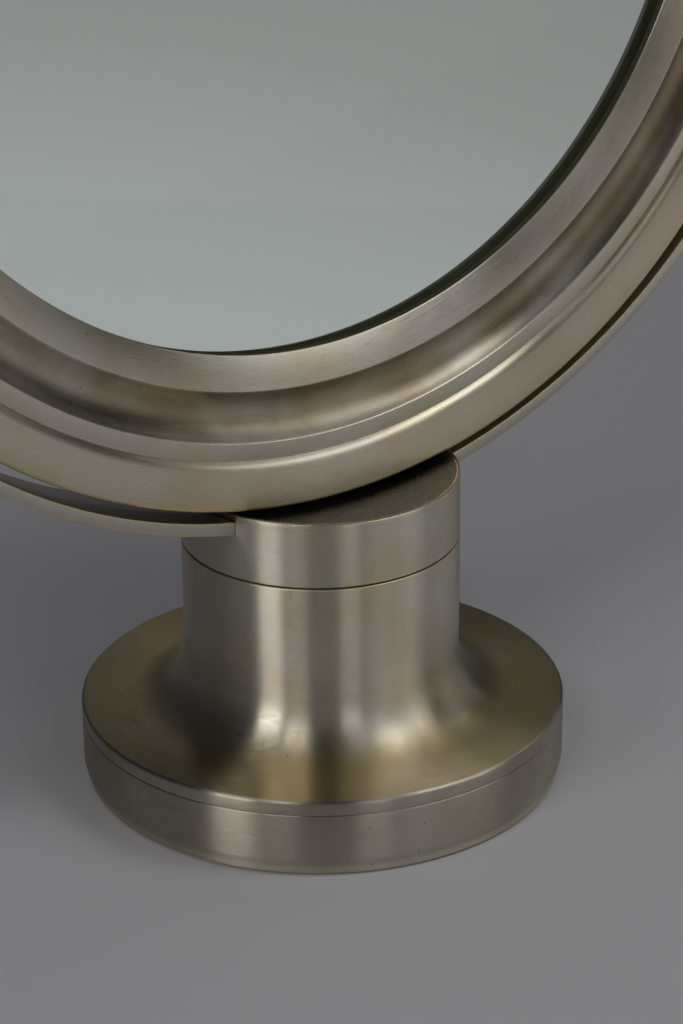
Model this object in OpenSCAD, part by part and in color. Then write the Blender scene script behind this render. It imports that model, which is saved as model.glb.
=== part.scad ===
// Table vanity mirror: a round framed mirror that tilts in a half-hoop yoke, on a turning collar,
// a plain column and a weighted round foot. Millimetres, floor at z 0, front towards -Y.

/* [Foot] */
// outer radius of the foot
foot_r = 75; // [66:0.5:95]
// height of the seam between the foot ring and the cover
foot_seam_z = 20.3; // [18:0.1:32]
// height of the cover's flat top
foot_top_z = 24.9; // [24.4:0.1:40]
// how far the bevel under the foot ring draws in
bevel_in = 1.1; // [0.5:0.1:2]
// height of that bevel
bevel_h = 4.4; // [2:0.1:6]
// height of the metal's lower edge above the floor
ring_lift = 0.7; // [0.3:0.1:1]
// thickness of the felt
felt_t = 1.6; // [1.2:0.1:2.5]
// radius of the cove between the foot and the column
cove_r = 16; // [10:0.5:20]

/* [Column] */
// outer radius of the column and the collar
column_r = 42.5; // [39:0.5:46]
// height of the column's top edge
column_top_z = 77.1; // [68:0.1:140]
// sheet thickness of the cover and column
sheet_t = 1.8; // [1.2:0.1:2.2]
// diameter of the tie rod
rod_d = 10; // [8:0.5:11]

/* [Collar] */
// visible seam between the column and the collar
seam_h = 0.5; // [0.4:0.1:1.5]
// thickness of the collar's floor
floor_t = 3; // [2.5:0.5:6]
// wall thickness of the collar
collar_wall = 2.6; // [2:0.2:3.4]
// room between the rod's end and the yoke strip
rod_room = 0.8; // [0.6:0.1:4]
// thickness of the dish cap
dish_t = 1.2; // [0.8:0.1:1.4]

/* [Yoke] */
// width of the yoke strip
strip_w = 25; // [22:0.5:28]
// thickness of the yoke strip
strip_t = 4; // [3.5:0.1:5]
// room between the dish cap and the yoke strip
dish_room = 0.8; // [0.7:0.1:2]

/* [Head] */
// outer radius of the head
head_r = 198.5; // [180:0.5:230]
// how far the front face stands ahead of the pivot axis
front_a = 6.1; // [6:0.1:9]
// how far the frame reaches behind the pivot axis
back_a = 12; // [11:0.5:16]
// thickness of the mirror glass
glass_t = 4.5; // [2.5:0.1:5]
// tilt back of the head in the modelled pose, degrees
tilt_rest = 3; // [0:0.5:10]
// width of the flat ring round the glass
flat_w = 10.1; // [9:0.1:14]
// rise of the flat ring from its inner lip
flat_rise = 2.9; // [2:0.1:4]
// depth of the hollow channel between the flat ring and the bead
channel_sag = 3.6; // [2.5:0.1:4]

/* [Fits] */
// radial clearance of each turning fit
turn_fit = 0.05; // [0.02:0.01:0.1]
// face clearance where a turning face slides
slide_fit = 0.05; // [0.02:0.01:0.1]
// clearance of loose holes and slots
loose_fit = 0.2; // [0.1:0.05:0.3]
// room between the head's sweep and the dish cap
sweep_room = 1.5; // [1:0.1:3]

/* [Show] */
// which piece to draw

/* [Hidden] */
big = 128;
mid = 64;
fine = 32;
small = 24;
eps = 0.01;

// foot, derived
edge_round = 1.1;
seam_v = 0.35;
ring_foot_r = foot_r - bevel_in;
ring_wall = 3.8;
ring_in_r = foot_r - ring_wall;
ring_flange_t = 3.2;
ring_flange_w = 7;
ring_flange_z = foot_seam_z - ring_flange_t;
spigot_t = 1.6;
spigot_h = 1.6;
felt_r = ring_in_r - 0.3;
plate_t = 2;
plate_r = ring_in_r - loose_fit;
plate_top_z = felt_t + plate_t;
ballast_r = ring_in_r - loose_fit;
ballast_hub_r = 17;
ballast_hub_h = 3;
ballast_sink_r = 13;
base_screw_pcd_r = 52;
base_screw_r = 2;
base_screw_head_r = 3.8;
base_screw_len = 10;
base_screw_count = 3;

// column, derived
column_in_r = column_r - sheet_t;
column_plate_t = 4;
column_plate_drop = 8.4;
column_plate_z = column_top_z - column_plate_drop - column_plate_t;
rod_r = rod_d / 2;
nut_flat_r = rod_d * 0.8;
nut_r = nut_flat_r / cos(30);
nut_h = 4.6;
rod_low_z = plate_top_z + 0.4;
low_washer_t = 1.6;
ballast_sink_h = low_washer_t + nut_h + 1;
low_nut_z = plate_top_z + ballast_sink_h - low_washer_t - nut_h;
glide_w = 2.6;
glide_inset = 0.5;
glide_t = seam_h - slide_fit;

// collar, derived
collar_z = column_top_z + seam_h;
collar_floor_z = collar_z + floor_t;
fibre_t = 0.8;
wave_t = 1;
top_nut_h = 3.6;
rod_tip = 0.5;
fibre_r = rod_r + 7;
bush_wall = 2.5;
bush_flange_t = 1;
bush_flange_w = 3;
stack_top_z = collar_floor_z + fibre_t + slide_fit + wave_t + top_nut_h + rod_tip;
strip_low_z = stack_top_z + rod_room;

// head and yoke, derived
sweep_r = sqrt(head_r * head_r + back_a * back_a);
dish_r = sweep_r + sweep_room;
yoke_in_r = dish_r + dish_t + dish_room;
yoke_out_r = yoke_in_r + strip_t;
pivot_z = strip_low_z + yoke_out_r;
dish_rim = 0.9;
seat_skim = 0.03;
dish_edge_r = column_r - dish_rim;
dish_rim_z = pivot_z - sqrt(dish_r * dish_r - dish_edge_r * dish_edge_r);
dish_under_r = dish_r + dish_t;
collar_in_r = column_r - collar_wall;
collar_top_z = pivot_z - sqrt(dish_under_r * dish_under_r - collar_in_r * collar_in_r) - seat_skim;
dish_skirt_h = dish_rim_z - collar_top_z;
dish_round = 0.4;
dish_band = 8;
strip_clear = 0.3;
dish_spigot_t = 1.5;
dish_spigot_h = 3;
slot_w = strip_w + 2 * loose_fit;
seat_x = 22;
seat_half = 7;
seat_w = 16;
yoke_screw_r = 2.5;
yoke_screw_head_r = 4.8;
yoke_screw_head_h = 2.3;
yoke_screw_len = 7;

// pivots
pin_r = 2.5;
boss_r = 4.4;
boss_x = head_r + 0.5;
spot_r = 10;
spot_depth = 0.2;
strip_face_x = yoke_in_r + spot_depth;
strip_back_x = yoke_out_r - spot_depth;
pin_bush_r = 4.5;
pin_flange_r = 8.5;
pin_flange_t = 1.2;
spacer_r = 5.8;
spacer_x = strip_face_x - pin_flange_t - slide_fit;
pin_wave_t = 0.8;
pin_wave_r = 7;
pin_wave_x = strip_back_x + slide_fit;
pin_head_x = pin_wave_x + pin_wave_t;
pin_head_r = 9;
pin_head_h = 3;
pin_dome_h = 1.6;
pin_dome_r = (pin_head_r * pin_head_r + pin_dome_h * pin_dome_h) / (2 * pin_dome_h);
pin_slot_w = 1.6;
pin_slot_h = 1.8;
block_w = 16;
block_deep = 6;
block_low_a = -7;

// section of the head: radii from its axis, depths ahead of the pivot
wall_t = 2;
wall_low = 2.5;
head_edge_r = 1.2;
outer_w = 9.7;
outer_rise = 1.2;
ogee_r = 4.2;
ogee_cx = head_r - head_edge_r - outer_w;
ogee_top_a = front_a - outer_rise;
bead_w = 4.7;
bead_fall = 0.8;
bead_r = ogee_cx - ogee_r - bead_w;
bead_a = front_a - 2.3;
hollow_a = bead_a - bead_fall;
hollow_angle = asin((hollow_a - ogee_top_a + ogee_r) / ogee_r);
channel_w = 14.8;
channel_rise = 2.6;
flat_out_r = bead_r - channel_w;
flat_out_a = bead_a - channel_rise;
lip_r = flat_out_r - flat_w;
lip_a = flat_out_a - flat_rise;
channel_chord = sqrt(channel_w * channel_w + channel_rise * channel_rise);
channel_arc_r = channel_chord * channel_chord / (8 * channel_sag) + channel_sag / 2;
channel_tilt = atan2(channel_rise, channel_w);
glass_a = lip_a - wall_low;
seat_glass_w = 7;
rebate_r = lip_r + seat_glass_w;
rebate_wall = 2;
glass_r = rebate_r - 0.4;
glass_back_a = glass_a - glass_t;
board_t = 2.5;
board_a = glass_back_a - board_t;
shell_a = min(flat_out_a - channel_sag - 1.6, glass_a - 0.2);
rim_under_a = ogee_top_a - 2.2;
under_turn_r = bead_r + 3;
under_shift = 2;
shell_out_r = head_r - wall_t;

// fixings inside the head
post_r = 3.4;
post_at_r = rebate_r + rebate_wall + post_r + 0.2;
clip_t = 0.8;
clip_half = 5;
clip_over = 12;
clip_tail = 4;
clip_screw_r = 1.4;
clip_screw_head_r = 2.8;
clip_screw_head_h = 1.4;
clip_screw_len = 5;
clip_count = 6;
clip_turn = 0;
lug_count = 6;
lug_turn = 30;
lug_half = 5.5;
lug_deep = 12;
lug_low_a = -back_a + 1;
lug_high_a = lug_low_a + 9;
lug_screw_r = shell_out_r - lug_deep / 2 - 0.5;
cover_t = 1;
cover_fall = 6;
cover_r = shell_out_r - loose_fit;
cover_band_w = 14;
cover_bend_r = cover_r - cover_band_w;
cover_slope_w = 9;
cover_screw_r = 1.6;
cover_screw_head_r = 3.1;
cover_screw_head_h = 1.6;
cover_screw_len = 8;

// helpers
module disc(r, z0, z1, bore = 0, n = big) {
    translate([0, 0, z0])
        difference() {
            cylinder(h = z1 - z0, r = r, $fn = n);
            if (bore > 0)
                translate([0, 0, -1])
                    cylinder(h = z1 - z0 + 2, r = bore, $fn = mid);
        }
}

// a cylinder along X from x0 to x1
module bar_x(r, x0, x1, n = fine) {
    translate([x0, 0, 0])
        rotate([0, 90, 0])
            cylinder(h = x1 - x0, r = r, $fn = n);
}

module hex_nut(z0, h, bore) {
    translate([0, 0, z0])
        difference() {
            intersection() {
                cylinder(h = h, r = nut_r, $fn = 6);
                cylinder(h = h, r1 = nut_flat_r + 0.3 + 1.7 * h, r2 = nut_flat_r + 0.3, $fn = mid);
            }
            translate([0, 0, -1])
                cylinder(h = h + 2, r = bore, $fn = fine);
        }
}

// the pair of pieces at the two ends of the pivot axis
module both_pivots() {
    translate([0, 0, pivot_z]) {
        children();
        rotate([0, 0, 180])
            children();
    }
}

// places the head, modelled face up round its own axis, into the yoke
module head_pose() {
    translate([0, 0, pivot_z])
        rotate([90 - tilt_rest, 0, 0])
            children();
}

module around(count, turn = 0) {
    for (i = [0 : count - 1])
        rotate([0, 0, turn + i * 360 / count])
            children();
}

// body: foot, fixed
module felt_pad() {
    color("DarkOliveGreen")
        disc(felt_r, 0, felt_t);
}

module base_plate() {
    color("Silver")
        difference() {
            disc(plate_r, felt_t, plate_top_z);
            around(base_screw_count)
                translate([base_screw_pcd_r, 0, 0])
                    countersink(felt_t, base_screw_r, base_screw_head_r, plate_t);
        }
}

// the hole, and the body, of a flush screw with its head down at z0
module countersink(z0, shank, head, deep) {
    translate([0, 0, z0])
        cylinder(h = head - shank, r1 = head, r2 = shank, $fn = small);
    translate([0, 0, z0])
        cylinder(h = deep + 1, r = shank, $fn = small);
    translate([0, 0, z0 - 1])
        cylinder(h = 1, r = head, $fn = small);
}

module base_screws() {
    color("DimGray")
        around(base_screw_count)
            translate([base_screw_pcd_r, 0, felt_t]) {
                cylinder(h = base_screw_head_r - base_screw_r, r1 = base_screw_head_r, r2 = base_screw_r, $fn = small);
                cylinder(h = base_screw_len, r = base_screw_r, $fn = small);
            }
}

module ballast() {
    color("DarkSlateGray")
        difference() {
            union() {
                disc(ballast_r, plate_top_z, ring_flange_z);
                disc(ballast_hub_r, ring_flange_z - eps, ring_flange_z + ballast_hub_h);
            }
            translate([0, 0, plate_top_z - 1])
                cylinder(h = ballast_sink_h + 1, r = ballast_sink_r, $fn = mid);
            cylinder(h = foot_seam_z + 10, r = rod_r + loose_fit, $fn = mid);
            around(base_screw_count)
                translate([base_screw_pcd_r, 0, 0])
                    cylinder(h = felt_t + base_screw_len, r = base_screw_r, $fn = small);
        }
}

module foot_ring_section() {
    polygon([
        [ring_in_r, ring_lift],
        [ring_foot_r, ring_lift],
        [foot_r, ring_lift + bevel_h],
        [foot_r, foot_seam_z - seam_v],
        [foot_r - seam_v, foot_seam_z],
        [foot_r - sheet_t - loose_fit, foot_seam_z],
        [foot_r - sheet_t - loose_fit, foot_seam_z + spigot_h],
        [foot_r - sheet_t - loose_fit - spigot_t, foot_seam_z + spigot_h],
        [foot_r - sheet_t - loose_fit - spigot_t, foot_seam_z],
        [ring_in_r - ring_flange_w, foot_seam_z],
        [ring_in_r - ring_flange_w, ring_flange_z],
        [ring_in_r, ring_flange_z]
    ]);
}

module foot_ring() {
    color("Tan")
        rotate_extrude($fn = big)
            foot_ring_section();
}

// outer outline of the cover and column as one solid section
module cover_outline(inset) {
    r_foot = foot_r - inset;
    r_col = column_r - inset;
    top = foot_top_z - inset;
    bend = cove_r + inset;
    round_r = max(edge_round - inset, 0.2);
    difference() {
        union() {
            difference() {
                translate([0, foot_seam_z - 10])
                    square([r_foot, top - foot_seam_z + 10]);
                translate([r_foot - round_r, top - round_r])
                    square([round_r + 1, round_r + 1]);
            }
            translate([r_foot - round_r, top - round_r])
                circle(r = round_r, $fn = fine);
            translate([0, top - eps])
                square([r_col + bend, bend + eps]);
            translate([0, top])
                square([r_col, column_top_z - top + 10]);
        }
        translate([r_col + bend, top + bend])
            circle(r = bend, $fn = mid);
    }
}

module foot_cover() {
    color("Tan")
        rotate_extrude($fn = big)
            intersection() {
                difference() {
                    cover_outline(0);
                    cover_outline(sheet_t);
                    translate([foot_r, foot_seam_z])
                        rotate([0, 0, 45])
                            square(seam_v * sqrt(2), center = true);
                    translate([column_r, column_top_z])
                        rotate([0, 0, 45])
                            square(seam_v * sqrt(2), center = true);
                }
                translate([column_in_r - 1, foot_seam_z])
                    square([foot_r, column_top_z - foot_seam_z]);
            }
}

module tie_rod() {
    color("Gainsboro")
        disc(rod_r, rod_low_z, stack_top_z, n = fine);
}

module rod_washer() {
    color("Silver")
        disc(rod_r + 5.5, plate_top_z + ballast_sink_h - low_washer_t, plate_top_z + ballast_sink_h, rod_r, mid);
}

module rod_nut() {
    color("Silver")
        hex_nut(low_nut_z, nut_h, rod_r);
}

module column_plate() {
    color("Silver")
        disc(column_in_r, column_plate_z, column_plate_z + column_plate_t, rod_r, big);
}

module plate_nut() {
    color("Silver")
        hex_nut(column_plate_z + column_plate_t, nut_h, rod_r);
}

module glide_ring() {
    color("Sienna")
        disc(column_r - glide_inset, column_top_z, column_top_z + glide_t, column_r - glide_inset - glide_w);
}

module spring_washer() {
    color("Silver")
        disc(fibre_r - 1, collar_floor_z + fibre_t + slide_fit, collar_floor_z + fibre_t + slide_fit + wave_t, rod_r, mid);
}

module top_nut() {
    color("Silver")
        hex_nut(collar_floor_z + fibre_t + slide_fit + wave_t, top_nut_h, rod_r);
}

// body: collar and yoke, turning on the rod
module collar() {
    color("Tan")
        difference() {
            union() {
                rotate_extrude($fn = big)
                    polygon([
                        [rod_r, collar_z],
                        [column_r - seam_v, collar_z],
                        [column_r, collar_z + seam_v],
                        [column_r, collar_top_z],
                        [collar_in_r, collar_top_z],
                        [collar_in_r, collar_floor_z],
                        [rod_r, collar_floor_z]
                    ]);
                seat_blocks();
            }
            translate([0, 0, collar_z - 1])
                cylinder(h = floor_t + 2, r = rod_r + turn_fit + bush_wall, $fn = mid);
            translate([0, 0, collar_z - 1])
                cylinder(h = bush_flange_t + 1, r = rod_r + turn_fit + bush_wall + bush_flange_w, $fn = mid);
            hoop_solid(yoke_out_r, slot_w);
            yoke_screw_shafts();
        }
}

// two blocks on the collar's floor, cut to the strip's curve by the collar
module seat_blocks() {
    for (side = [-1, 1])
        translate([side * seat_x, 0, (collar_floor_z + strip_low_z + 4) / 2])
            cube([2 * seat_half, seat_w, strip_low_z + 4 - collar_floor_z + 2 * eps], center = true);
}

// everything above the strip's underside, as wide as w
module hoop_solid(r, w) {
    translate([0, w / 2, pivot_z])
        rotate([90, 0, 0])
            cylinder(h = w, r = r, $fn = 2 * big);
}

module at_yoke_screws() {
    for (side = [-1, 1])
        translate([0, 0, pivot_z])
            rotate([0, -side * asin(seat_x / yoke_out_r), 0])
                translate([0, 0, -yoke_in_r])
                    children();
}

module yoke_screw_shafts() {
    at_yoke_screws()
        translate([0, 0, -yoke_screw_len])
            cylinder(h = yoke_screw_len, r = yoke_screw_r, $fn = small);
}

module yoke_screw_body() {
    translate([0, 0, -yoke_screw_len])
        cylinder(h = yoke_screw_len, r = yoke_screw_r, $fn = small);
    translate([0, 0, -yoke_screw_head_h])
        cylinder(h = yoke_screw_head_h, r1 = yoke_screw_r, r2 = yoke_screw_head_r, $fn = small);
}

module collar_bush() {
    color("Goldenrod")
        rotate_extrude($fn = mid)
            polygon([
                [rod_r + turn_fit, collar_z],
                [rod_r + turn_fit + bush_wall + bush_flange_w, collar_z],
                [rod_r + turn_fit + bush_wall + bush_flange_w, collar_z + bush_flange_t],
                [rod_r + turn_fit + bush_wall, collar_z + bush_flange_t],
                [rod_r + turn_fit + bush_wall, collar_floor_z],
                [rod_r + turn_fit, collar_floor_z]
            ]);
}

module fibre_washer() {
    color("Sienna")
        disc(fibre_r, collar_floor_z, collar_floor_z + fibre_t, rod_r + turn_fit, mid);
}

module yoke_strip() {
    end_half = strip_w / 2;
    color("Tan")
        difference() {
            translate([0, 0, pivot_z])
                difference() {
                    rotate([90, 0, 0])
                        translate([0, 0, -end_half])
                            linear_extrude(height = strip_w)
                                difference() {
                                    circle(r = yoke_out_r, $fn = 2 * big);
                                    circle(r = yoke_in_r, $fn = 2 * big);
                                    translate([-yoke_out_r - 1, end_half])
                                        square([2 * yoke_out_r + 2, yoke_out_r + 1]);
                                }
                    for (side = [-1, 1])
                        translate([side * yoke_in_r, 0, 0])
                            rotate([0, 90, 0])
                                translate([0, 0, -strip_t])
                                    linear_extrude(height = 3 * strip_t)
                                        difference() {
                                            translate([-end_half - 1, -end_half - 1])
                                                square([end_half + 1, strip_w + 2]);
                                            circle(r = end_half, $fn = mid);
                                        }
                    for (side = [0, 180])
                        rotate([0, 0, side]) {
                            bar_x(pin_bush_r, yoke_in_r - 5, yoke_out_r + 5);
                            bar_x(spot_r, yoke_in_r - 5, strip_face_x, mid);
                            bar_x(spot_r, strip_back_x, yoke_out_r + 5, mid);
                        }
                }
            at_yoke_screws()
                yoke_screw_body();
        }
}

module yoke_screws() {
    color("Gainsboro")
        intersection() {
            at_yoke_screws()
                yoke_screw_body();
            translate([0, 0, collar_z])
                cylinder(h = collar_top_z - collar_z, r = collar_in_r, $fn = mid);
        }
}

module dish_cap() {
    color("Gray")
        difference() {
            rotate_extrude($fn = big)
                difference() {
                    union() {
                        intersection() {
                            translate([0, pivot_z])
                                circle(r = dish_r + dish_t, $fn = 6 * big);
                            translate([0, collar_z])
                                square([dish_edge_r + eps, dish_rim_z - collar_z]);
                        }
                        translate([dish_edge_r - eps, collar_top_z])
                            square([dish_rim + eps, dish_skirt_h - dish_round]);
                        translate([dish_edge_r - eps, collar_top_z])
                            square([dish_rim - dish_round + eps, dish_skirt_h]);
                        translate([column_r - dish_round, dish_rim_z - dish_round])
                            circle(r = dish_round, $fn = small);
                        translate([collar_in_r - dish_spigot_t, collar_top_z - dish_spigot_h])
                            square([dish_spigot_t, dish_spigot_h + eps]);
                    }
                    translate([0, pivot_z])
                        circle(r = dish_r, $fn = 6 * big);
                }
            difference() {
                translate([-column_r, -slot_w / 2, collar_top_z - dish_spigot_h - 1])
                    cube([2 * column_r, slot_w, dish_spigot_h + 1]);
                hoop_solid(yoke_in_r - strip_clear, slot_w + 2);
                translate([-column_r + dish_band, -slot_w, collar_z])
                    cube([2 * (column_r - dish_band), 2 * slot_w, pivot_z - collar_z]);
            }
        }
}

module pivot_bushes() {
    color("Ivory")
        both_pivots()
            difference() {
                union() {
                    bar_x(pin_bush_r, strip_face_x - pin_flange_t, strip_back_x);
                    bar_x(pin_flange_r, strip_face_x - pin_flange_t, strip_face_x, mid);
                }
                bar_x(pin_r + turn_fit, strip_face_x - 5, strip_back_x + 5);
            }
}

// body: head, tilting on the pivot screws
function arc_points(cx, cy, r, from, to, steps) =
    [for (i = [0 : steps]) [cx + r * cos(from + (to - from) * i / steps), cy + r * sin(from + (to - from) * i / steps)]];

module front_frame_section() {
    difference() {
        polygon(concat(
            [
                [lip_r, glass_a],
                [lip_r, lip_a],
                [flat_out_r, flat_out_a],
                [bead_r, bead_a]
            ],
            arc_points(ogee_cx, ogee_top_a - ogee_r, ogee_r, 180 - hollow_angle, 90, 12),
            arc_points(head_r - head_edge_r, front_a - head_edge_r, head_edge_r, 90, 0, 6),
            [
                [head_r, -back_a],
                [shell_out_r, -back_a],
                [shell_out_r, rim_under_a],
                [ogee_cx + under_shift, rim_under_a],
                [under_turn_r, shell_a],
                [rebate_r + rebate_wall, shell_a],
                [rebate_r + rebate_wall, board_a],
                [rebate_r, board_a],
                [rebate_r, glass_a]
            ]
        ));
        translate([bead_r - channel_w / 2, bead_a - channel_rise / 2])
            rotate([0, 0, channel_tilt])
                translate([0, channel_arc_r - channel_sag])
                    circle(r = channel_arc_r, $fn = 2 * mid);
    }
}

module front_frame() {
    color("Tan")
        head_pose()
            difference() {
                rotate_extrude($fn = big)
                    front_frame_section();
                bar_x(boss_r, shell_out_r - 1, head_r + 5);
                bar_x(boss_r, -head_r - 5, 1 - shell_out_r);
            }
}

module mirror_glass() {
    color("LightSteelBlue")
        head_pose()
            disc(glass_r, glass_back_a, glass_a);
}

module backing_board() {
    color("SaddleBrown")
        head_pose()
            disc(glass_r, board_a, glass_back_a);
}

module at_clips() {
    head_pose()
        around(clip_count, clip_turn)
            translate([post_at_r, 0, 0])
                children();
}

module clip_posts() {
    color("Goldenrod")
        at_clips()
            difference() {
                translate([0, 0, board_a])
                    cylinder(h = shell_a - board_a, r = post_r, $fn = fine);
                translate([0, 0, board_a - 1])
                    cylinder(h = clip_screw_len - clip_t + 1, r = clip_screw_r, $fn = small);
            }
}

module glass_clips() {
    color("Silver")
        at_clips()
            translate([0, 0, board_a - clip_t])
                linear_extrude(height = clip_t)
                    difference() {
                        union() {
                            translate([-clip_over, -clip_half])
                                square([clip_over, 2 * clip_half]);
                            translate([-clip_over, 0])
                                circle(r = clip_half, $fn = fine);
                            circle(r = clip_half, $fn = fine);
                        }
                        circle(r = clip_screw_r, $fn = small);
                    }
}

module clip_screws() {
    color("Gainsboro")
        at_clips()
            translate([0, 0, board_a - clip_t]) {
                cylinder(h = clip_screw_len, r = clip_screw_r, $fn = small);
                translate([0, 0, -clip_screw_head_h])
                    cylinder(h = clip_screw_head_h, r = clip_screw_head_r, $fn = small);
            }
}

module at_lugs() {
    head_pose()
        around(lug_count, lug_turn)
            children();
}

module frame_lugs() {
    color("Goldenrod")
        at_lugs()
            difference() {
                intersection() {
                    translate([shell_out_r - lug_deep, -lug_half, lug_low_a])
                        cube([lug_deep + 5, 2 * lug_half, lug_high_a - lug_low_a]);
                    translate([0, 0, lug_low_a])
                        cylinder(h = lug_high_a - lug_low_a, r = shell_out_r, $fn = big);
                }
                translate([lug_screw_r, 0, lug_low_a - 1])
                    cylinder(h = cover_screw_len - cover_t + 1, r = cover_screw_r, $fn = small);
            }
}

module back_cover() {
    color("Black")
        head_pose()
            difference() {
                rotate_extrude($fn = big)
                    polygon([
                        [0, lug_low_a - cover_fall],
                        [cover_bend_r - cover_slope_w, lug_low_a - cover_fall],
                        [cover_bend_r, lug_low_a],
                        [cover_r, lug_low_a],
                        [cover_r, lug_low_a - cover_t],
                        [cover_bend_r - 0.6, lug_low_a - cover_t],
                        [cover_bend_r - cover_slope_w - 0.6, lug_low_a - cover_fall - cover_t],
                        [0, lug_low_a - cover_fall - cover_t]
                    ]);
                around(lug_count, lug_turn)
                    translate([lug_screw_r, 0, lug_low_a - cover_t - 1])
                        cylinder(h = cover_t + 2, r = cover_screw_r, $fn = small);
            }
}

module cover_screws() {
    color("Gainsboro")
        at_lugs()
            translate([lug_screw_r, 0, lug_low_a - cover_t]) {
                cylinder(h = cover_screw_len, r = cover_screw_r, $fn = small);
                translate([0, 0, -cover_screw_head_h])
                    cylinder(h = cover_screw_head_h, r = cover_screw_head_r, $fn = small);
            }
}

module tilted_pivots() {
    head_pose() {
        children();
        rotate([0, 0, 180])
            children();
    }
}

module pivot_blocks() {
    color("Goldenrod")
        tilted_pivots()
            difference() {
                union() {
                    intersection() {
                        translate([shell_out_r - block_deep, -block_w / 2, block_low_a])
                            cube([block_deep + 5, block_w, rim_under_a - block_low_a]);
                        translate([0, 0, block_low_a])
                            cylinder(h = rim_under_a - block_low_a, r = shell_out_r, $fn = big);
                    }
                    intersection() {
                        bar_x(boss_r, shell_out_r - 1, boss_x);
                        translate([shell_out_r - 1, -boss_r, -boss_r])
                            cube([5, 2 * boss_r, 2 * boss_r]);
                    }
                }
                bar_x(pin_r, shell_out_r - block_deep - 1, boss_x + 1);
            }
}

module pivot_spacers() {
    color("Silver")
        both_pivots()
            difference() {
                bar_x(spacer_r, boss_x, spacer_x);
                bar_x(pin_r, boss_x - 1, spacer_x + 1);
            }
}

module pivot_springs() {
    color("Silver")
        both_pivots()
            difference() {
                bar_x(pin_wave_r, pin_wave_x, pin_head_x);
                bar_x(pin_r, pin_wave_x - 1, pin_head_x + 1);
            }
}

module pivot_screws() {
    color("Tan")
        both_pivots()
            difference() {
                union() {
                    bar_x(pin_r, shell_out_r - block_deep, pin_head_x);
                    translate([pin_head_x, 0, 0])
                        rotate([0, 90, 0])
                            rotate_extrude($fn = mid)
                                intersection() {
                                    square([pin_head_r, pin_head_h + pin_dome_h]);
                                    translate([0, pin_head_h + pin_dome_h - pin_dome_r])
                                        circle(r = pin_dome_r, $fn = 2 * big);
                                }
                }
                translate([pin_head_x + pin_head_h + pin_dome_h - pin_slot_h, -pin_slot_w / 2, -pin_head_r - 1])
                    cube([pin_slot_h + 1, pin_slot_w, 2 * pin_head_r + 2]);
            }
}

felt_pad();
base_plate();
base_screws();
ballast();
foot_ring();
foot_cover();
tie_rod();
rod_washer();
rod_nut();
column_plate();
plate_nut();
glide_ring();
spring_washer();
top_nut();
collar();
collar_bush();
fibre_washer();
yoke_strip();
yoke_screws();
dish_cap();
pivot_bushes();
front_frame();
mirror_glass();
backing_board();
clip_posts();
glass_clips();
clip_screws();
frame_lugs();
back_cover();
cover_screws();
pivot_blocks();
pivot_spacers();
pivot_springs();
pivot_screws();
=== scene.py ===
import math

import bmesh
import bpy
from mathutils import Matrix, Vector


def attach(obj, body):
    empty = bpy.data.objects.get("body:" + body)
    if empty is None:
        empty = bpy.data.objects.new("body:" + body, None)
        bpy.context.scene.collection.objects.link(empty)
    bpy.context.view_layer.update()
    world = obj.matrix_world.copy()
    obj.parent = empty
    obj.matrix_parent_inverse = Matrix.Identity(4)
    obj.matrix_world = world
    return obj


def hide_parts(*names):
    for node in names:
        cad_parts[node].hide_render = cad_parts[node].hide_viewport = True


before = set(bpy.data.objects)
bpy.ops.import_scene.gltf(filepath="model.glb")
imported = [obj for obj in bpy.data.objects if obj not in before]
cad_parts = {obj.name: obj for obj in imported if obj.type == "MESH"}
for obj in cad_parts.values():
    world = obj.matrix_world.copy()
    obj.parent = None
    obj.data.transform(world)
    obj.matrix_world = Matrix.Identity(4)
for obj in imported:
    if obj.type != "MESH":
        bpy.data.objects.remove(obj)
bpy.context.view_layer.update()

# Sizes are in millimetres, as in the part's source, and become metres in the meshes.
MM = 0.001
# Steps of a full turn in a spun piece
STEPS = 256
# How far two faces that would lie in one plane are kept apart
HAIR = 0.02
# The edge breaks of the seams, of the sharp edges and of plain corners
SEAM = 0.35
SHARP = 0.25
CORNER = 0.3

# Foot and column
FOOT_R = 75.0
FOOT_SEAM_Z = 20.3
FOOT_TOP_Z = 24.9
FOOT_EDGE_R = 1.1
BEVEL_IN = 1.1
BEVEL_H = 4.4
RING_LIFT = 0.7
RING_IN_R = 71.2
COVE_R = 16.0
COLUMN_R = 42.5
COLUMN_TOP_Z = 77.1
SHEET_T = 1.8
FELT_T = 1.6
FELT_R = 70.9

# Cap and yoke
PIVOT_Z = 293.712
DISH_R = 200.362
DISH_T = 1.2
DISH_EDGE_R = 41.6
DISH_UNDER_R = 39.9
COLLAR_TOP_Z = 96.109
YOKE_IN_R = 202.362
STRIP_T = 4.0
STRIP_W = 25.0

# Head: an A is a distance in front of the plane of the pivots, and BACK_A one behind it.
TILT = 3.0
HEAD_R = 198.5
FRONT_A = 6.1
BACK_A = 12.0
WALL_T = 2.0
OGEE_R = 4.2
OGEE_CX = 187.6
OGEE_TOP_A = 4.9
HEAD_EDGE_R = 1.2
BEAD_R = 178.7
BEAD_A = 3.8
HOLLOW_A = 3.0
FLAT_OUT_R = 163.9
FLAT_OUT_A = 1.2
LIP_R = 153.8
LIP_A = -1.7
GLASS_A = -4.2
GLASS_T = 4.5
GLASS_R = 160.4
GLASS_BACK_A = GLASS_A - GLASS_T + 3 * HAIR
REBATE_R = 160.8
REBATE_WALL = 2.0
BOARD_A = -11.2
SHELL_A = -4.4
RIM_UNDER_A = 2.7
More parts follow.
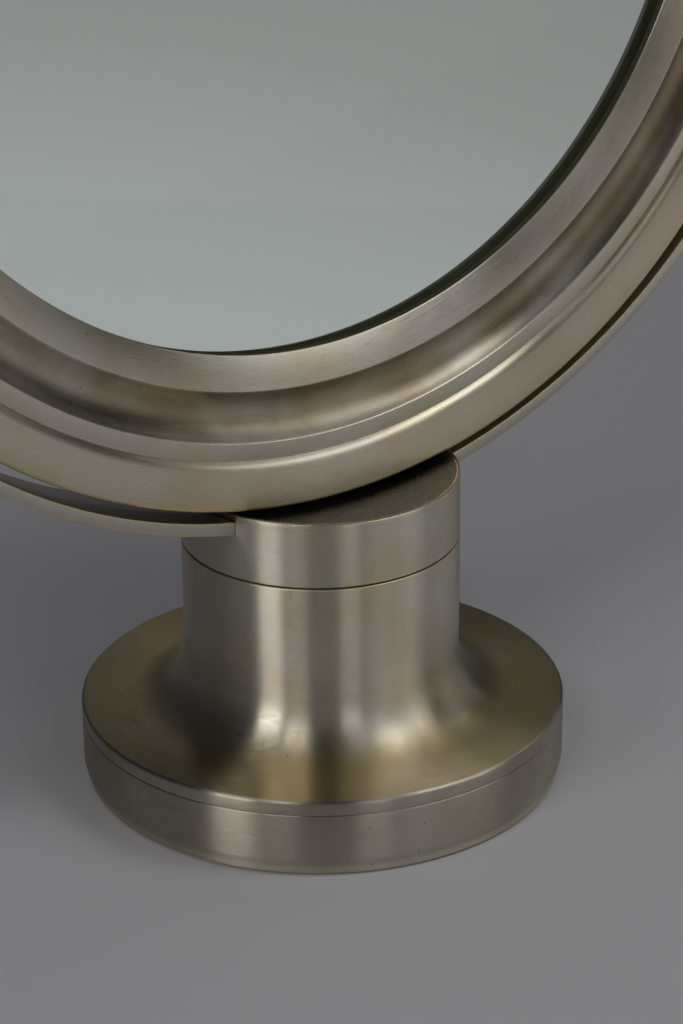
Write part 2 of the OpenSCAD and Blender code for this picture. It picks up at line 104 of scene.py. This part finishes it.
# Where the frame's underside turns, outside the ogee's centre and outside the bead
UNDER_OGEE = 2.0
UNDER_BEAD = 3.0
CHANNEL_SAG = 3.6
COVER_R = 196.3
COVER_A = -11.0
COVER_BEND_R = 182.3
COVER_SLOPE_W = 9.0
COVER_FALL = 6.0
COVER_T = 1.0
# How much nearer the axis the bends of the cover's back lie
COVER_SHIFT = 0.6


def linear(code):
    """A six-digit sRGB hex colour as linear RGBA."""
    parts = [int(code[i:i + 2], 16) / 255 for i in (0, 2, 4)]
    return tuple(c / 12.92 if c <= 0.04045 else ((c + 0.055) / 1.055) ** 2.4 for c in parts) + (1.0,)


def node(tree, kind, links=None, **settings):
    """Adds one node, with its settings and with values or sockets for its inputs."""
    made = tree.nodes.new(kind)
    for key, value in settings.items():
        setattr(made, key, value)
    for name, value in (links or {}).items():
        if isinstance(value, bpy.types.NodeSocket):
            tree.links.new(value, made.inputs[name])
        else:
            made.inputs[name].default_value = value
    return made


def material(name):
    """An empty material and its tree."""
    made = bpy.data.materials.new(name)
    made.use_nodes = True
    made.node_tree.nodes.clear()
    return made, made.node_tree


# The camera stands where the fitted view of the foot, the column and the head puts it.
VIEW_TURN = 37.21
VIEW_BACK = 780.84
VIEW_HEIGHT = 422.54
VIEW_PITCH = 23.474
VIEW_YAW = -0.476
VIEW_ROLL = -0.56
LENS = 98.44


def turned(axis, degrees):
    return Matrix.Rotation(math.radians(degrees), 4, axis)


def make_camera():
    data = bpy.data.cameras.new("view")
    data.lens = LENS
    data.sensor_width = 36
    data.clip_start = 0.02
    data.clip_end = 40
    eye = bpy.data.objects.new("view", data)
    bpy.context.collection.objects.link(eye)
    spot = turned("Z", -VIEW_TURN) @ Vector((0, -VIEW_BACK * MM, VIEW_HEIGHT * MM))
    aim = turned("Z", VIEW_YAW - VIEW_TURN) @ turned("X", 90 - VIEW_PITCH) @ turned("Z", VIEW_ROLL)
    eye.matrix_world = Matrix.Translation(spot) @ aim
    bpy.context.scene.camera = eye


def from_camera(azimuth, elevation, distance):
    """A point seen from the object, by azimuth to the right of the camera and elevation, in degrees."""
    flat = turned("Z", azimuth - VIEW_TURN) @ Vector((0, -1, 0))
    rise = math.radians(elevation)
    return Vector((flat.x * math.cos(rise), flat.y * math.cos(rise), math.sin(rise))) * distance


# The height on the object's axis that the lamps face
AIM_Z = 0.2
# Half the width of the floor, in metres
FLOOR_HALF = 14


def softbox(name, azimuth, elevation, distance, width, height, power, aim_z=AIM_Z):
    """A lamp that faces a point of the object's axis at the height aim_z."""
    data = bpy.data.lights.new(name, "AREA")
    data.shape = "RECTANGLE"
    data.size = width
    data.size_y = height
    data.energy = power
    lamp = bpy.data.objects.new(name, data)
    bpy.context.collection.objects.link(lamp)
    spot = from_camera(azimuth, elevation, distance)
    aim = Vector((0, 0, aim_z)) - spot
    lamp.matrix_world = Matrix.Translation(spot) @ aim.to_track_quat("-Z", "Y").to_matrix().to_4x4()


# Softboxes: azimuth to the right of the camera and elevation in degrees, distance, width and height in
# metres, and power in watts. The last is a sheet of lit paper, which starts on the floor and slopes back,
# so it faces a much higher point: the mirror shows nothing else.
SOFTBOXES = [
    ("left_window", -41, 21, 2.0, 0.60, 0.45, 5.9),
    ("left_upper", -22, 42, 2.0, 0.50, 0.60, 3.2),
    ("left_top", -38, 64, 2.0, 0.60, 0.60, 0.4),
    ("front_low", 4, 14, 2.0, 0.60, 0.30, 0.30),
    ("right_low", 22, 20, 2.0, 0.50, 0.45, 1.7),
    ("right_mid", 42, 38, 2.0, 0.60, 0.60, 0.9),
    ("right_window", 74, 55, 3.2, 1.00, 1.00, 10.5),
    ("right_side", 84, 38, 2.0, 0.60, 0.80, 2.8),
    ("right_top", 55, 66, 2.8, 1.00, 1.00, 1.4),
    ("back_right", 130, 45, 2.0, 0.80, 0.80, 1.1),
    ("low_right", 125, 18, 2.0, 1.20, 0.40, 0.4),
    ("back_top", 180, 62, 2.0, 0.60, 0.70, 0.6),
    ("back_low", 180, 32, 2.4, 1.20, 0.50, 0.4),
    ("sloping_paper", 82, 10.5, 1.10, 2.00, 1.30, 1.95, 3.5),
]


def make_studio():
    """A sheet of uncoated grey paper, matt and even, in a dim room with the softboxes."""
    floor_mat, tree = material("studio_paper")
    shader = node(tree, "ShaderNodeBsdfPrincipled", {"Base Color": linear("c4c4c7"), "Roughness": 0.9})
    node(tree, "ShaderNodeOutputMaterial", {"Surface": shader.outputs[0]})
    bm = bmesh.new()
    bmesh.ops.create_grid(bm, x_segments=2, y_segments=2, size=FLOOR_HALF)
    mesh = bpy.data.meshes.new("studio_floor")
    bm.to_mesh(mesh)
    bm.free()
    mesh.materials.append(floor_mat)
    floor = bpy.data.objects.new("studio_floor", mesh)
    bpy.context.collection.objects.link(floor)
    world = bpy.data.worlds.new("studio")
    world.use_nodes = True
    bpy.context.scene.world = world
    tree = world.node_tree
    tree.nodes.clear()
    room = node(tree, "ShaderNodeBackground", {"Color": linear("28282b"), "Strength": 1.0})
    node(tree, "ShaderNodeOutputWorld", {"Surface": room.outputs[0]})
    for box in SOFTBOXES:
        softbox(*box)


def axis_of(tilt):
    """The axis a piece was turned on: upright, or the head's, which leans back from level by the tilt."""
    if tilt is None:
        return Vector((0, 0, 1))
    return (turned("X", 90 - tilt) @ Vector((0, 0, 1))).normalized()


# The plate new and yellowed, the brass where it has worn away, and the brown inside a pit
NICKEL = "d8d1c4"
YELLOWED = "cdc3ab"
BRASS = "d8c48e"
TARNISH = "3d3226"
# Sizes on the plate, in millimetres. The rubbing lines are about 0.05 apart and are drawn 0.3 apart, so that
# they show, and the bands are where the pad pressed harder.
LINE_PITCH = 0.3
LINE_DEPTH = 0.02
BAND_PITCH = 2.6
CLOUD_SIZE = 38
WORN_SIZE = 7
PIT_SPACING = 5.5
# How often a line and a band change on their way round: the lines are short and the bands long.
LINE_WAY = 18
BAND_WAY = 2.2


def turned_metal(name, rough, aniso, tilt=None, zones=(), bare=0.0):
    """Satin nickel plate on spun brass, rubbed on the lathe: its fine rings draw each light out into a long
    streak across them, and its edges and some zones have yellowed or let the brass show through, while other
    zones are darkened, some as painted shade."""
    made, tree = material(name)
    where = node(tree, "ShaderNodeTexCoord")
    centre = (0, 0, PIVOT_Z * MM) if tilt is not None else (0, 0, 0)
    off = node(tree, "ShaderNodeVectorMath", {0: where.outputs["Object"], 1: centre}, operation="SUBTRACT")
    axis = axis_of(tilt)
    height = node(tree, "ShaderNodeVectorMath", {0: off.outputs[0], 1: axis}, operation="DOT_PRODUCT")
    ring = node(tree, "ShaderNodeVectorMath", {0: axis, 1: off.outputs[0]}, operation="CROSS_PRODUCT")
    radius = node(tree, "ShaderNodeVectorMath", {0: ring.outputs[0]}, operation="LENGTH")
    way = node(tree, "ShaderNodeVectorMath", {0: ring.outputs[0]}, operation="NORMALIZE")
    across = node(tree, "ShaderNodeMath", {0: height.outputs["Value"], 1: radius.outputs["Value"]},
                  operation="ADD")

    short = node(tree, "ShaderNodeVectorMath", {0: way.outputs[0], 1: (LINE_WAY,) * 3}, operation="MULTIPLY")
    fine = node(tree, "ShaderNodeMath", {0: across.outputs[0], 1: 1 / (LINE_PITCH * MM)},
                operation="MULTIPLY")
    lines = node(tree, "ShaderNodeTexNoise", {"Vector": short.outputs[0], "W": fine.outputs[0], "Scale": 1.0,
                                              "Detail": 2.0, "Roughness": 0.5}, noise_dimensions="4D")
    slow = node(tree, "ShaderNodeVectorMath", {0: way.outputs[0], 1: (BAND_WAY,) * 3}, operation="MULTIPLY")
    wide = node(tree, "ShaderNodeMath", {0: across.outputs[0], 1: 1 / (BAND_PITCH * MM)},
                operation="MULTIPLY")
    bands = node(tree, "ShaderNodeTexNoise", {"Vector": slow.outputs[0], "W": wide.outputs[0], "Scale": 1.0,
                                              "Detail": 2.0}, noise_dimensions="4D")

    # A few dark pits, one at most in each cell of a loose grid
    specks = node(tree, "ShaderNodeTexVoronoi", {"Vector": off.outputs[0], "Scale": 1 / (PIT_SPACING * MM)})
    spot = node(tree, "ShaderNodeMapRange", {"Value": specks.outputs["Distance"], "From Min": 0.03,
                                             "From Max": 0.085, "To Min": 1.0, "To Max": 0.0})
    few = node(tree, "ShaderNodeMath", {0: specks.outputs["Color"], 1: 0.62}, operation="GREATER_THAN")
    pit = node(tree, "ShaderNodeMath", {0: spot.outputs[0], 1: few.outputs[0]}, operation="MULTIPLY")

    # Yellowed clouds, then the zones, the bare brass and the pits, each laid over the one before
    cloud = node(tree, "ShaderNodeTexNoise", {"Vector": off.outputs[0], "Scale": 1 / (CLOUD_SIZE * MM),
                                              "Detail": 5.0, "Roughness": 0.6})
    tint = node(tree, "ShaderNodeMapRange", {"Value": cloud.outputs["Fac"], "From Min": 0.38,
                                             "From Max": 0.66})
    colour = node(tree, "ShaderNodeMix", {0: tint.outputs[0], 6: linear(NICKEL), 7: linear(YELLOWED)},
                  data_type="RGBA")
    for start, full, end, gone, shade, most in zones:
        rise = node(tree, "ShaderNodeMapRange", {"Value": radius.outputs["Value"], "From Min": start * MM,
                                                 "From Max": full * MM}, interpolation_type="SMOOTHSTEP")
        fall = node(tree, "ShaderNodeMapRange", {"Value": radius.outputs["Value"], "From Min": end * MM,
                                                 "From Max": gone * MM, "To Min": 1.0, "To Max": 0.0},
                    interpolation_type="SMOOTHSTEP")
        inside = node(tree, "ShaderNodeMath", {0: rise.outputs[0], 1: fall.outputs[0]}, operation="MULTIPLY")
        patchy = node(tree, "ShaderNodeMapRange", {"Value": cloud.outputs["Fac"], "From Min": 0.3,
                                                   "From Max": 0.6, "To Min": most * 0.55, "To Max": most})
        amount = node(tree, "ShaderNodeMath", {0: inside.outputs[0], 1: patchy.outputs[0]},
                      operation="MULTIPLY")
        colour = node(tree, "ShaderNodeMix", {0: amount.outputs[0], 6: colour.outputs[2], 7: linear(shade)},
                      data_type="RGBA")
    if bare:
        worn = node(tree, "ShaderNodeTexNoise", {"Vector": off.outputs[0], "Scale": 1 / (WORN_SIZE * MM),
                                                 "Detail": 3.0})
        rubbed = node(tree, "ShaderNodeMapRange", {"Value": worn.outputs["Fac"], "From Min": 0.4,
                                                   "From Max": 0.6, "To Min": bare * 0.3, "To Max": bare})
        colour = node(tree, "ShaderNodeMix", {0: rubbed.outputs[0], 6: colour.outputs[2], 7: linear(BRASS)},
                      data_type="RGBA")
    pitted = node(tree, "ShaderNodeMath", {0: pit.outputs[0], 1: 0.55}, operation="MULTIPLY")
    colour = node(tree, "ShaderNodeMix", {0: pitted.outputs[0], 6: colour.outputs[2], 7: linear(TARNISH)},
                  data_type="RGBA")
    shade = node(tree, "ShaderNodeMapRange", {"Value": lines.outputs["Fac"], "From Min": 0.3, "From Max": 0.7,
                                              "To Min": 0.97, "To Max": 1.03})
    toned = node(tree, "ShaderNodeHueSaturation", {"Color": colour.outputs[2], "Value": shade.outputs[0]})

    # The lines and, more faintly, the bands move the gloss.
    mixed = node(tree, "ShaderNodeMath", {0: bands.outputs["Fac"], 1: 0.2, 2: lines.outputs["Fac"]},
                 operation="MULTIPLY_ADD")
    gloss = node(tree, "ShaderNodeMapRange", {"Value": mixed.outputs[0], "From Min": 0.35, "From Max": 0.85,
                                              "To Min": rough[0], "To Max": rough[1]})
    bump = node(tree, "ShaderNodeBump", {"Height": lines.outputs["Fac"], "Strength": 0.02,
                                         "Distance": LINE_DEPTH * MM})
    # The streaks lie across the turning lines, so the tangent runs round the axis.
    along = node(tree, "ShaderNodeVectorTransform", {"Vector": ring.outputs[0]}, vector_type="VECTOR",
                 convert_from="OBJECT", convert_to="WORLD")
    shader = node(tree, "ShaderNodeBsdfPrincipled", {
        "Base Color": toned.outputs[0], "Metallic": 1.0, "Roughness": gloss.outputs[0],
        "Anisotropic": aniso, "Anisotropic Rotation": 0.25, "Normal": bump.outputs[0],
        "Tangent": along.outputs[0]})
    node(tree, "ShaderNodeOutputMaterial", {"Surface": shader.outputs[0]})
    return made


def plain(name, colour, metallic, rough, grain_mm, depth_mm, spread=0.06, specular=0.5):
    """A finish without turning lines: its grain is one noise, which moves tone, gloss and bump together."""
    made, tree = material(name)
    where = node(tree, "ShaderNodeTexCoord")
    grain = node(tree, "ShaderNodeTexNoise", {"Vector": where.outputs["Object"], "Scale": 1 / (grain_mm * MM),
                                              "Detail": 4.0})
    value = node(tree, "ShaderNodeMapRange", {"Value": grain.outputs["Fac"], "To Min": 0.8, "To Max": 1.2})
    tone = node(tree, "ShaderNodeHueSaturation", {"Color": linear(colour), "Value": value.outputs[0]})
    gloss = node(tree, "ShaderNodeMapRange", {"Value": grain.outputs["Fac"], "To Min": rough - spread,
                                              "To Max": rough + spread})
    bump = node(tree, "ShaderNodeBump", {"Height": grain.outputs["Fac"], "Strength": 0.5,
                                         "Distance": depth_mm * MM})
    shader = node(tree, "ShaderNodeBsdfPrincipled", {
        "Base Color": tone.outputs[0], "Metallic": metallic, "Roughness": gloss.outputs[0],
        "Specular IOR Level": specular, "Normal": bump.outputs[0]})
    node(tree, "ShaderNodeOutputMaterial", {"Surface": shader.outputs[0]})
    return made


def glass_material():
    """Float glass, as it left the line: flat and smooth, so reflections stay sharp, and faintly green."""
    made, tree = material("float_glass")
    shader = node(tree, "ShaderNodeBsdfPrincipled", {
        "Base Color": linear("f2f8f4"), "Roughness": 0.0, "IOR": 1.52, "Transmission Weight": 1.0})
    node(tree, "ShaderNodeOutputMaterial", {"Surface": shader.outputs[0]})
    return made


def silver_material():
    """Silver laid wet on the glass's back: nearly white, and it blurs what it shows only by a trace."""
    made, tree = material("mirror_silvering")
    shader = node(tree, "ShaderNodeBsdfPrincipled", {
        "Base Color": linear("eef1ef"), "Metallic": 1.0, "Roughness": 0.02})
    node(tree, "ShaderNodeOutputMaterial", {"Surface": shader.outputs[0]})
    return made


def arc(cx, cz, radius, start, stop, steps):
    """Points of an arc for an outline, by its angles in degrees, with no edge break."""
    turns = [math.radians(start + (stop - start) * i / steps) for i in range(steps + 1)]
    return [(cx + radius * math.cos(t), cz + radius * math.sin(t), 0) for t in turns]


def finish(name, bm, body, hides, materials):
    """Makes the mesh a piece that rides on its body and takes the place of the solids it hides."""
    mesh = bpy.data.meshes.new(name)
    bm.to_mesh(mesh)
    bm.free()
    for mat in materials:
        mesh.materials.append(mat)
    mesh.set_sharp_from_angle(angle=math.radians(35))
    piece = bpy.data.objects.new(name, mesh)
    bpy.context.collection.objects.link(piece)
    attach(piece, body)
    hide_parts(*hides)
    return piece


def spun(name, outline, body, hides, materials, place=Matrix()):
    """Spins an outline of (radius, height, edge break) points once round Z, then breaks its edges. The broken
    edges take the second material, if there is one."""
    bm = bmesh.new()
    edge_break = bm.verts.layers.float.new("edge_break")
    ring = []
    for r, z, width in outline:
        vert = bm.verts.new((r * MM, 0, z * MM))
        vert[edge_break] = width
        ring.append(vert)
    edges = [bm.edges.new((a, b)) for a, b in zip(ring, ring[1:])]
    if outline[0][0] > 0:
        edges.append(bm.edges.new((ring[-1], ring[0])))
    bmesh.ops.spin(bm, geom=ring + edges, axis=(0, 0, 1), cent=(0, 0, 0), angle=2 * math.pi, steps=STEPS,
                   use_merge=True)
    bmesh.ops.remove_doubles(bm, verts=bm.verts, dist=1e-6)
    bmesh.ops.recalc_face_normals(bm, faces=bm.faces)
    for width in sorted({p[2] for p in outline if p[2]}, reverse=True):
        rims = [e for e in bm.edges if all(abs(v[edge_break] - width) < 1e-6 for v in e.verts)
                and abs(e.verts[0].co.z - e.verts[1].co.z) < 0.01 * MM
                and abs(e.verts[0].co.xy.length - e.verts[1].co.xy.length) < 0.01 * MM]
        made = bmesh.ops.bevel(bm, geom=rims, offset=width * MM, offset_type="OFFSET", segments=3,
                               profile=0.5, affect="EDGES", material=-1, clamp_overlap=True)
        for face in made["faces"]:
            face.material_index = min(1, len(materials) - 1)
        for vert in made["verts"]:
            vert[edge_break] = 0
    for face in bm.faces:
        face.smooth = True
    bm.transform(place)
    return finish(name, bm, body, hides, materials)


make_camera()
make_studio()

# The least and the most roughness across the rubbing: the foot's pad was coarser than the head's.
FOOT_ROUGH = (0.27, 0.41)
HEAD_ROUGH = (0.255, 0.325)
# A zone is where a shade starts, is full, starts to end and is gone, by radius in mm, then the shade and its
# strength.
# The foot's top has yellowed from the cove outwards, and its rim and ring, the outermost band, are made
# darker and more neutral.
FOOT_ZONES = [(44, 54, 73.4, 74.6, "c9b785", 0.85), (74.2, 74.8, 90, 95, "a89f90", 0.85)]
# Painted shade: the recessed channel is painted a darker brown, and darker still beside the bead, where shade
# falls.
HEAD_ZONES = [(163.5, 165, 174, 179, "93866b", 0.9), (172, 176, 178, 179, "4a4034", 0.55)]
# The rim has yellowed outwards.
RIM_ZONES = [(179, 184, 210, 212, "c6bba0", 0.6), (193, 198, 210, 212, "c9b27c", 0.45)]
# Satin nickel plate on turned brass: a warm grey metal that draws each light out into a long, soft streak.
foot_nickel = turned_metal("satin_nickel_foot", FOOT_ROUGH, 1.0, zones=FOOT_ZONES)
# The same plate where handling has worn its edges: a thin, yellower line of brass.
foot_edge = turned_metal("worn_plate_foot", FOOT_ROUGH, 0.6, bare=1.0)
# The head's plate, turned on the head's own axis, with a narrower streak.
head_nickel = turned_metal("satin_nickel_head", HEAD_ROUGH, 0.95, TILT, zones=HEAD_ZONES + RIM_ZONES)
# Its broken edges, which are only partly worn to the brass.
head_edge = turned_metal("worn_plate_head", HEAD_ROUGH, 0.6, TILT, zones=RIM_ZONES, bare=0.3)
# Dark nickel plate, lightly polished in the spun hollow: a dim, soft mirror of the head above it.
dark_nickel = plain("dark_nickel_plate", "5e5b57", 1.0, 0.28, 1.2, 0.005, spread=0.04)
# Painted shade on the lip's wall: dark olive and dull, so the wall and its image in the glass show as a dark
# band of shade round the glass, and the glass mirrors no bright ring.
lip_wall_painted_shade = plain("brass_painted_shade", "434231", 0.0, 0.8, 0.8, 0.01, specular=0.15)
# Linseed putty, knifed in round the glass: matt and khaki, seen only through the glass's edge, and painted
# pale as painted light, standing in for the light that reaches it through the glass.
putty_and_painted_light = plain("linseed_putty_painted_light", "9c9470", 0.0, 0.85, 1.0, 0.02)
# Satin nickel plate on rolled strip: even and soft, with no turning lines.
strip_nickel = plain("satin_nickel_strip", "c6c0b2", 1.0, 0.36, 0.6, 0.01)
# Zinc-plated steel: cold grey, with a fine, dull shine.
steel = plain("zinc_plated_steel", "b4b6b8", 1.0, 0.35, 0.8, 0.01)
# Brass as the cutter left it: yellow and fairly bright.
brass = plain("machined_brass", "c8a661", 1.0, 0.3, 0.8, 0.01)
# Iron cast in sand: nearly black, and rough from the mould.
iron = plain("sand_cast_iron", "33322f", 0.6, 0.6, 1.5, 0.15)
# Vulcanised fibre cut from sheet: brown-black and dull.
fibre = plain("vulcanised_fibre", "1b1715", 0.0, 0.6, 0.5, 0.02)
# Natural nylon from a mould: milky, with a waxy sheen.
nylon = plain("moulded_nylon", "e2dfd2", 0.0, 0.45, 0.5, 0.01)
# Hardboard pressed from wood fibre: brown and matt.
board = plain("pressed_hardboard", "7b5f44", 0.0, 0.8, 0.4, 0.05)
# Stove enamel sprayed on pressed steel: black, with a soft shine and a slight orange peel.
enamel = plain("black_stove_enamel", "262627", 0.0, 0.38, 1.2, 0.02)
# Wool felt cut from sheet: dark grey-green, with no shine.
felt = plain("wool_felt", "262a25", 0.0, 0.95, 0.3, 0.15)
glass = glass_material()
silver = silver_material()

# The finishes of the solids that keep their own shape
CAD_FINISHES = [
    (foot_nickel, ["collar"]),
    (strip_nickel, ["pivot_screws"]),
    (brass, ["collar_bush", "clip_posts", "frame_lugs", "pivot_blocks"]),
    (iron, ["ballast"]),
    (fibre, ["glide_ring", "fibre_washer"]),
    (nylon, ["pivot_bushes"]),
    (board, ["backing_board"]),
    (steel, ["base_plate", "base_screws", "tie_rod", "rod_washer", "rod_nut", "column_plate", "plate_nut",
             "spring_washer", "top_nut", "yoke_screws", "glass_clips", "clip_screws", "cover_screws",
             "pivot_spacers", "pivot_springs"]),
]
for solid_finish, names in CAD_FINISHES:
    for name in names:
        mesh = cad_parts[name].data
        mesh.materials.clear()
        mesh.materials.append(solid_finish)

# The foot's cover: rim, flat top, cove and column in one shell. Only the column's top edge is worn to the
# brass.
COVER_IN_R = FOOT_R - SHEET_T
cove = arc(COLUMN_R + COVE_R, FOOT_TOP_Z + COVE_R, COVE_R, 270, 180, 20)
under = arc(COLUMN_R + COVE_R, FOOT_TOP_Z + COVE_R, COVE_R + SHEET_T, 180, 270, 12)
cover = spun("foot_cover_shell", [
    (COVER_IN_R, FOOT_SEAM_Z, 0), (FOOT_R, FOOT_SEAM_Z, SEAM), (FOOT_R, FOOT_TOP_Z, FOOT_EDGE_R)]
    + cove + [(COLUMN_R, COLUMN_TOP_Z, SEAM), (COLUMN_R - SHEET_T, COLUMN_TOP_Z, 0)] + under
    + [(COVER_IN_R, FOOT_TOP_Z - SHEET_T, 0)],
    "foot", ["foot_cover"], [foot_nickel, foot_edge])
for face in cover.data.polygons:
    if face.center.z < (COLUMN_TOP_Z - 1) * MM:
        face.material_index = 0

# The foot's ring, with its bevel below
spun("foot_ring_turned", [
    (RING_IN_R, RING_LIFT, 0), (FOOT_R - BEVEL_IN, RING_LIFT, 0.2), (FOOT_R, RING_LIFT + BEVEL_H, CORNER),
    (FOOT_R, FOOT_SEAM_Z - HAIR, SEAM), (RING_IN_R, FOOT_SEAM_Z - HAIR, 0)],
    "foot", ["foot_ring"], [foot_nickel])

spun("felt_disc", [(0, 0, 0), (FELT_R, 0, CORNER), (FELT_R, FELT_T, 0), (0, FELT_T, 0)],
     "foot", ["felt_pad"], [felt])


def dish(radius, r):
    """The height of a ball round the pivots, on its lower side, at r from the column's axis."""
    return PIVOT_Z - math.sqrt(radius * radius - r * r)


# The cap, whose hollow follows the path of the head's edge. Its outer wall is plated as the collar is.
hollow = [(r, dish(DISH_R, r), 0) for r in [DISH_EDGE_R * i / 16 for i in range(16)]]
belly = [(r, dish(DISH_R + DISH_T, r), 0) for r in [DISH_UNDER_R * i / 12 for i in range(12, -1, -1)]]
cap = spun("dish_cap_spun", hollow + [(DISH_EDGE_R, dish(DISH_R, DISH_EDGE_R), 0.15),
                                      (COLUMN_R, dish(DISH_R, DISH_EDGE_R), CORNER),
                                      (COLUMN_R, COLLAR_TOP_Z + 0.05, 0)] + belly,
           "yoke", ["dish_cap"], [dark_nickel, foot_edge, foot_nickel])
for face in cap.data.polygons:
    if math.hypot(*face.center.xy) > (COLUMN_R - 0.05) * MM:
        face.material_index = 2

# The head's ring: lip, flat band, channel, bead, hollow, ogee and side wall. The channel is an arc from the
# flat band to the bead, and leans with the line between them.
head_place = Matrix.Translation((0, 0, PIVOT_Z * MM)) @ turned("X", 90 - TILT)
hollow_turn = math.degrees(math.asin((HOLLOW_A - OGEE_TOP_A + OGEE_R) / OGEE_R))
chord = math.hypot(BEAD_R - FLAT_OUT_R, BEAD_A - FLAT_OUT_A)
channel_r = chord * chord / (8 * CHANNEL_SAG) + CHANNEL_SAG / 2
lean = math.atan2(BEAD_A - FLAT_OUT_A, BEAD_R - FLAT_OUT_R)
channel_cx = (BEAD_R + FLAT_OUT_R) / 2 - math.sin(lean) * (channel_r - CHANNEL_SAG)
channel_ca = (BEAD_A + FLAT_OUT_A) / 2 + math.cos(lean) * (channel_r - CHANNEL_SAG)
half = math.degrees(math.asin(chord / 2 / channel_r))
down = 270 + math.degrees(lean)
channel = arc(channel_cx, channel_ca, channel_r, down - half, down + half, 20)[1:-1]
ogee = arc(OGEE_CX, OGEE_TOP_A - OGEE_R, OGEE_R, 180 - hollow_turn, 95, 10)
shell = spun("front_frame_spun", [
    (LIP_R, GLASS_A, 0), (LIP_R, LIP_A, SHARP), (FLAT_OUT_R, FLAT_OUT_A, 0.2)] + channel
    + [(BEAD_R, BEAD_A, SHARP)] + ogee
    + [(HEAD_R, FRONT_A, HEAD_EDGE_R), (HEAD_R, -BACK_A, CORNER), (HEAD_R - WALL_T, -BACK_A, CORNER),
       (HEAD_R - WALL_T, RIM_UNDER_A, 0), (OGEE_CX + UNDER_OGEE, RIM_UNDER_A, 0),
       (BEAD_R + UNDER_BEAD, SHELL_A, 0), (REBATE_R + REBATE_WALL, SHELL_A, 0),
       (REBATE_R + REBATE_WALL, BOARD_A, 0), (REBATE_R, BOARD_A, 0), (REBATE_R, GLASS_A, 0)],
    "head", ["front_frame"], [head_nickel, head_edge, lip_wall_painted_shade, putty_and_painted_light], place=head_place)
# The lip's wall takes the painted shade, and the seat and the rebate take the pale putty, painted light seen
# through the glass's edge.
back_to_flat = head_place.inverted()
for face in shell.data.polygons:
    at = back_to_flat @ face.center
    if at.xy.length < (REBATE_R + 0.1) * MM and at.z < (LIP_A - 0.2) * MM:
        face.material_index = 2 if at.xy.length < (LIP_R + 0.1) * MM else 3

# The mirror: clear glass, silvered on its back face
pane = spun("mirror_pane", [(0, GLASS_A - HAIR, 0), (GLASS_R, GLASS_A - HAIR, CORNER),
                            (GLASS_R, GLASS_BACK_A, 0), (0, GLASS_BACK_A, 0)],
            "head", ["mirror_glass"], [glass], place=head_place)
pane.data.materials.append(silver)
back = (head_place.to_3x3() @ Vector((0, 0, -1))).normalized()
for face in pane.data.polygons:
    if face.normal.dot(back) > 0.99:
        face.material_index = 1

# The pressed back cover: a flat flange, a short slope and a flat middle, with soft bends
cover_mid_r = COVER_BEND_R - COVER_SLOPE_W
cover_mid_a = COVER_A - COVER_FALL
spun("back_cover_pressed", [
    (0, cover_mid_a, 0), (cover_mid_r, cover_mid_a, 2), (COVER_BEND_R, COVER_A, 1), (COVER_R, COVER_A, 0),
    (COVER_R, COVER_A - COVER_T, 0.2), (COVER_BEND_R - COVER_SHIFT, COVER_A - COVER_T, 2),
    (cover_mid_r - COVER_SHIFT, cover_mid_a - COVER_T, 3), (0, cover_mid_a - COVER_T, 0)],
    "head", ["back_cover"], [enamel], place=head_place)


def make_strip():
    """The yoke: a flat strip with round ends, cut into short lengths, then bent to the hoop."""
    bm = bmesh.new()
    middle_r = YOKE_IN_R + STRIP_T / 2
    reach = math.pi / 2 * middle_r * MM
    bmesh.ops.create_circle(bm, cap_ends=True, segments=64, radius=STRIP_W / 2 * MM)
    for vert in bm.verts:
        if abs(vert.co.x) > 1e-6:
            vert.co.x += math.copysign(reach, vert.co.x)
        else:
            vert.co.x = 0
    lengths = 200
    for i in range(lengths + 1):
        at = reach * (2 * i / lengths - 1)
        bmesh.ops.bisect_plane(bm, geom=bm.verts[:] + bm.edges[:] + bm.faces[:], plane_co=(at, 0, 0),
                               plane_no=(1, 0, 0), dist=1e-7)
    flat = bmesh.ops.extrude_face_region(bm, geom=bm.faces[:])
    bmesh.ops.translate(bm, verts=[v for v in flat["geom"] if isinstance(v, bmesh.types.BMVert)],
                        vec=(0, 0, STRIP_T * MM))
    bmesh.ops.recalc_face_normals(bm, faces=bm.faces)
    rims = [e for e in bm.edges if e.is_manifold and e.calc_face_angle(0) > math.radians(60)]
    edge = bmesh.ops.bevel(bm, geom=rims, offset=SEAM * MM, offset_type="OFFSET", segments=3, profile=0.5,
                           affect="EDGES", material=-1, clamp_overlap=True)
    for face in edge["faces"]:
        face.material_index = 1
    for vert in bm.verts:
        turn = vert.co.x / (middle_r * MM)
        far = YOKE_IN_R * MM + vert.co.z
        vert.co = Vector((far * math.sin(turn), vert.co.y, PIVOT_Z * MM - far * math.cos(turn)))
    bmesh.ops.recalc_face_normals(bm, faces=bm.faces)
    for face in bm.faces:
        face.smooth = True
    finish("yoke_strip_bent", bm, "yoke", ["yoke_strip"], [strip_nickel, foot_edge])


make_strip()

bpy.context.scene.view_settings.view_transform = "Standard"
